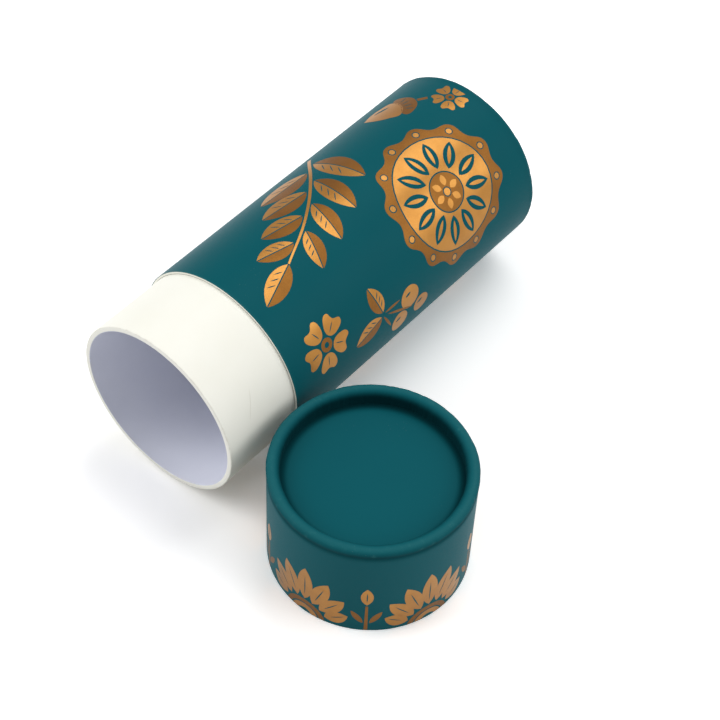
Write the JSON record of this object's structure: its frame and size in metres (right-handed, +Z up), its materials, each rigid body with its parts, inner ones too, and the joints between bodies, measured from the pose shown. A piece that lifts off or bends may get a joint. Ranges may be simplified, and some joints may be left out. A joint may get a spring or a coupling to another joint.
{
  "type": "cylindrical gift tube box",
  "caption": "Cylindrical paper gift tube with a white slip neck, a rolled base rim and a lift-off rolled-rim lid that stands beside it, wrapped in teal paper with copper foil motifs.",
  "frame": {"origin": "on the table under the middle of the set: the tube lying on its side and the lid standing beside its neck", "axes": "+Z up, +Y along the tube from its mouth towards its base, +X from the tube towards the lid"},
  "size_m": [0.1712, 0.2114, 0.083],
  "materials": {
    "teal_wrap": "matte",
    "copper_foil": "satin",
    "bronze_foil": "satin",
    "white_card": "matte",
    "white_lining": "matte",
    "sleeve_board": "matte",
    "tube_board": "matte",
    "disc_board": "matte"
  },
  "bodies": {
    "tube": {"body_tube": "tube_board", "body_wrap": "teal_wrap", "neck_sleeve": "sleeve_board", "neck_wrap": "white_card", "sleeve_lining": "white_lining", "base_disc": "disc_board", "base_disc_cover": "teal_wrap", "base_pad": "white_card"},
    "lid": {"lid_tube": "tube_board", "lid_wrap": "teal_wrap", "lid_disc": "disc_board", "lid_disc_cover": "teal_wrap", "lid_pad": "white_card"}
  },
  "joints": [
    {"name": "lid_lift", "type": "slide", "parent": "tube", "child": "lid", "axis": [0, 0, 1], "range_m": [0, 0.09]}
  ]
}
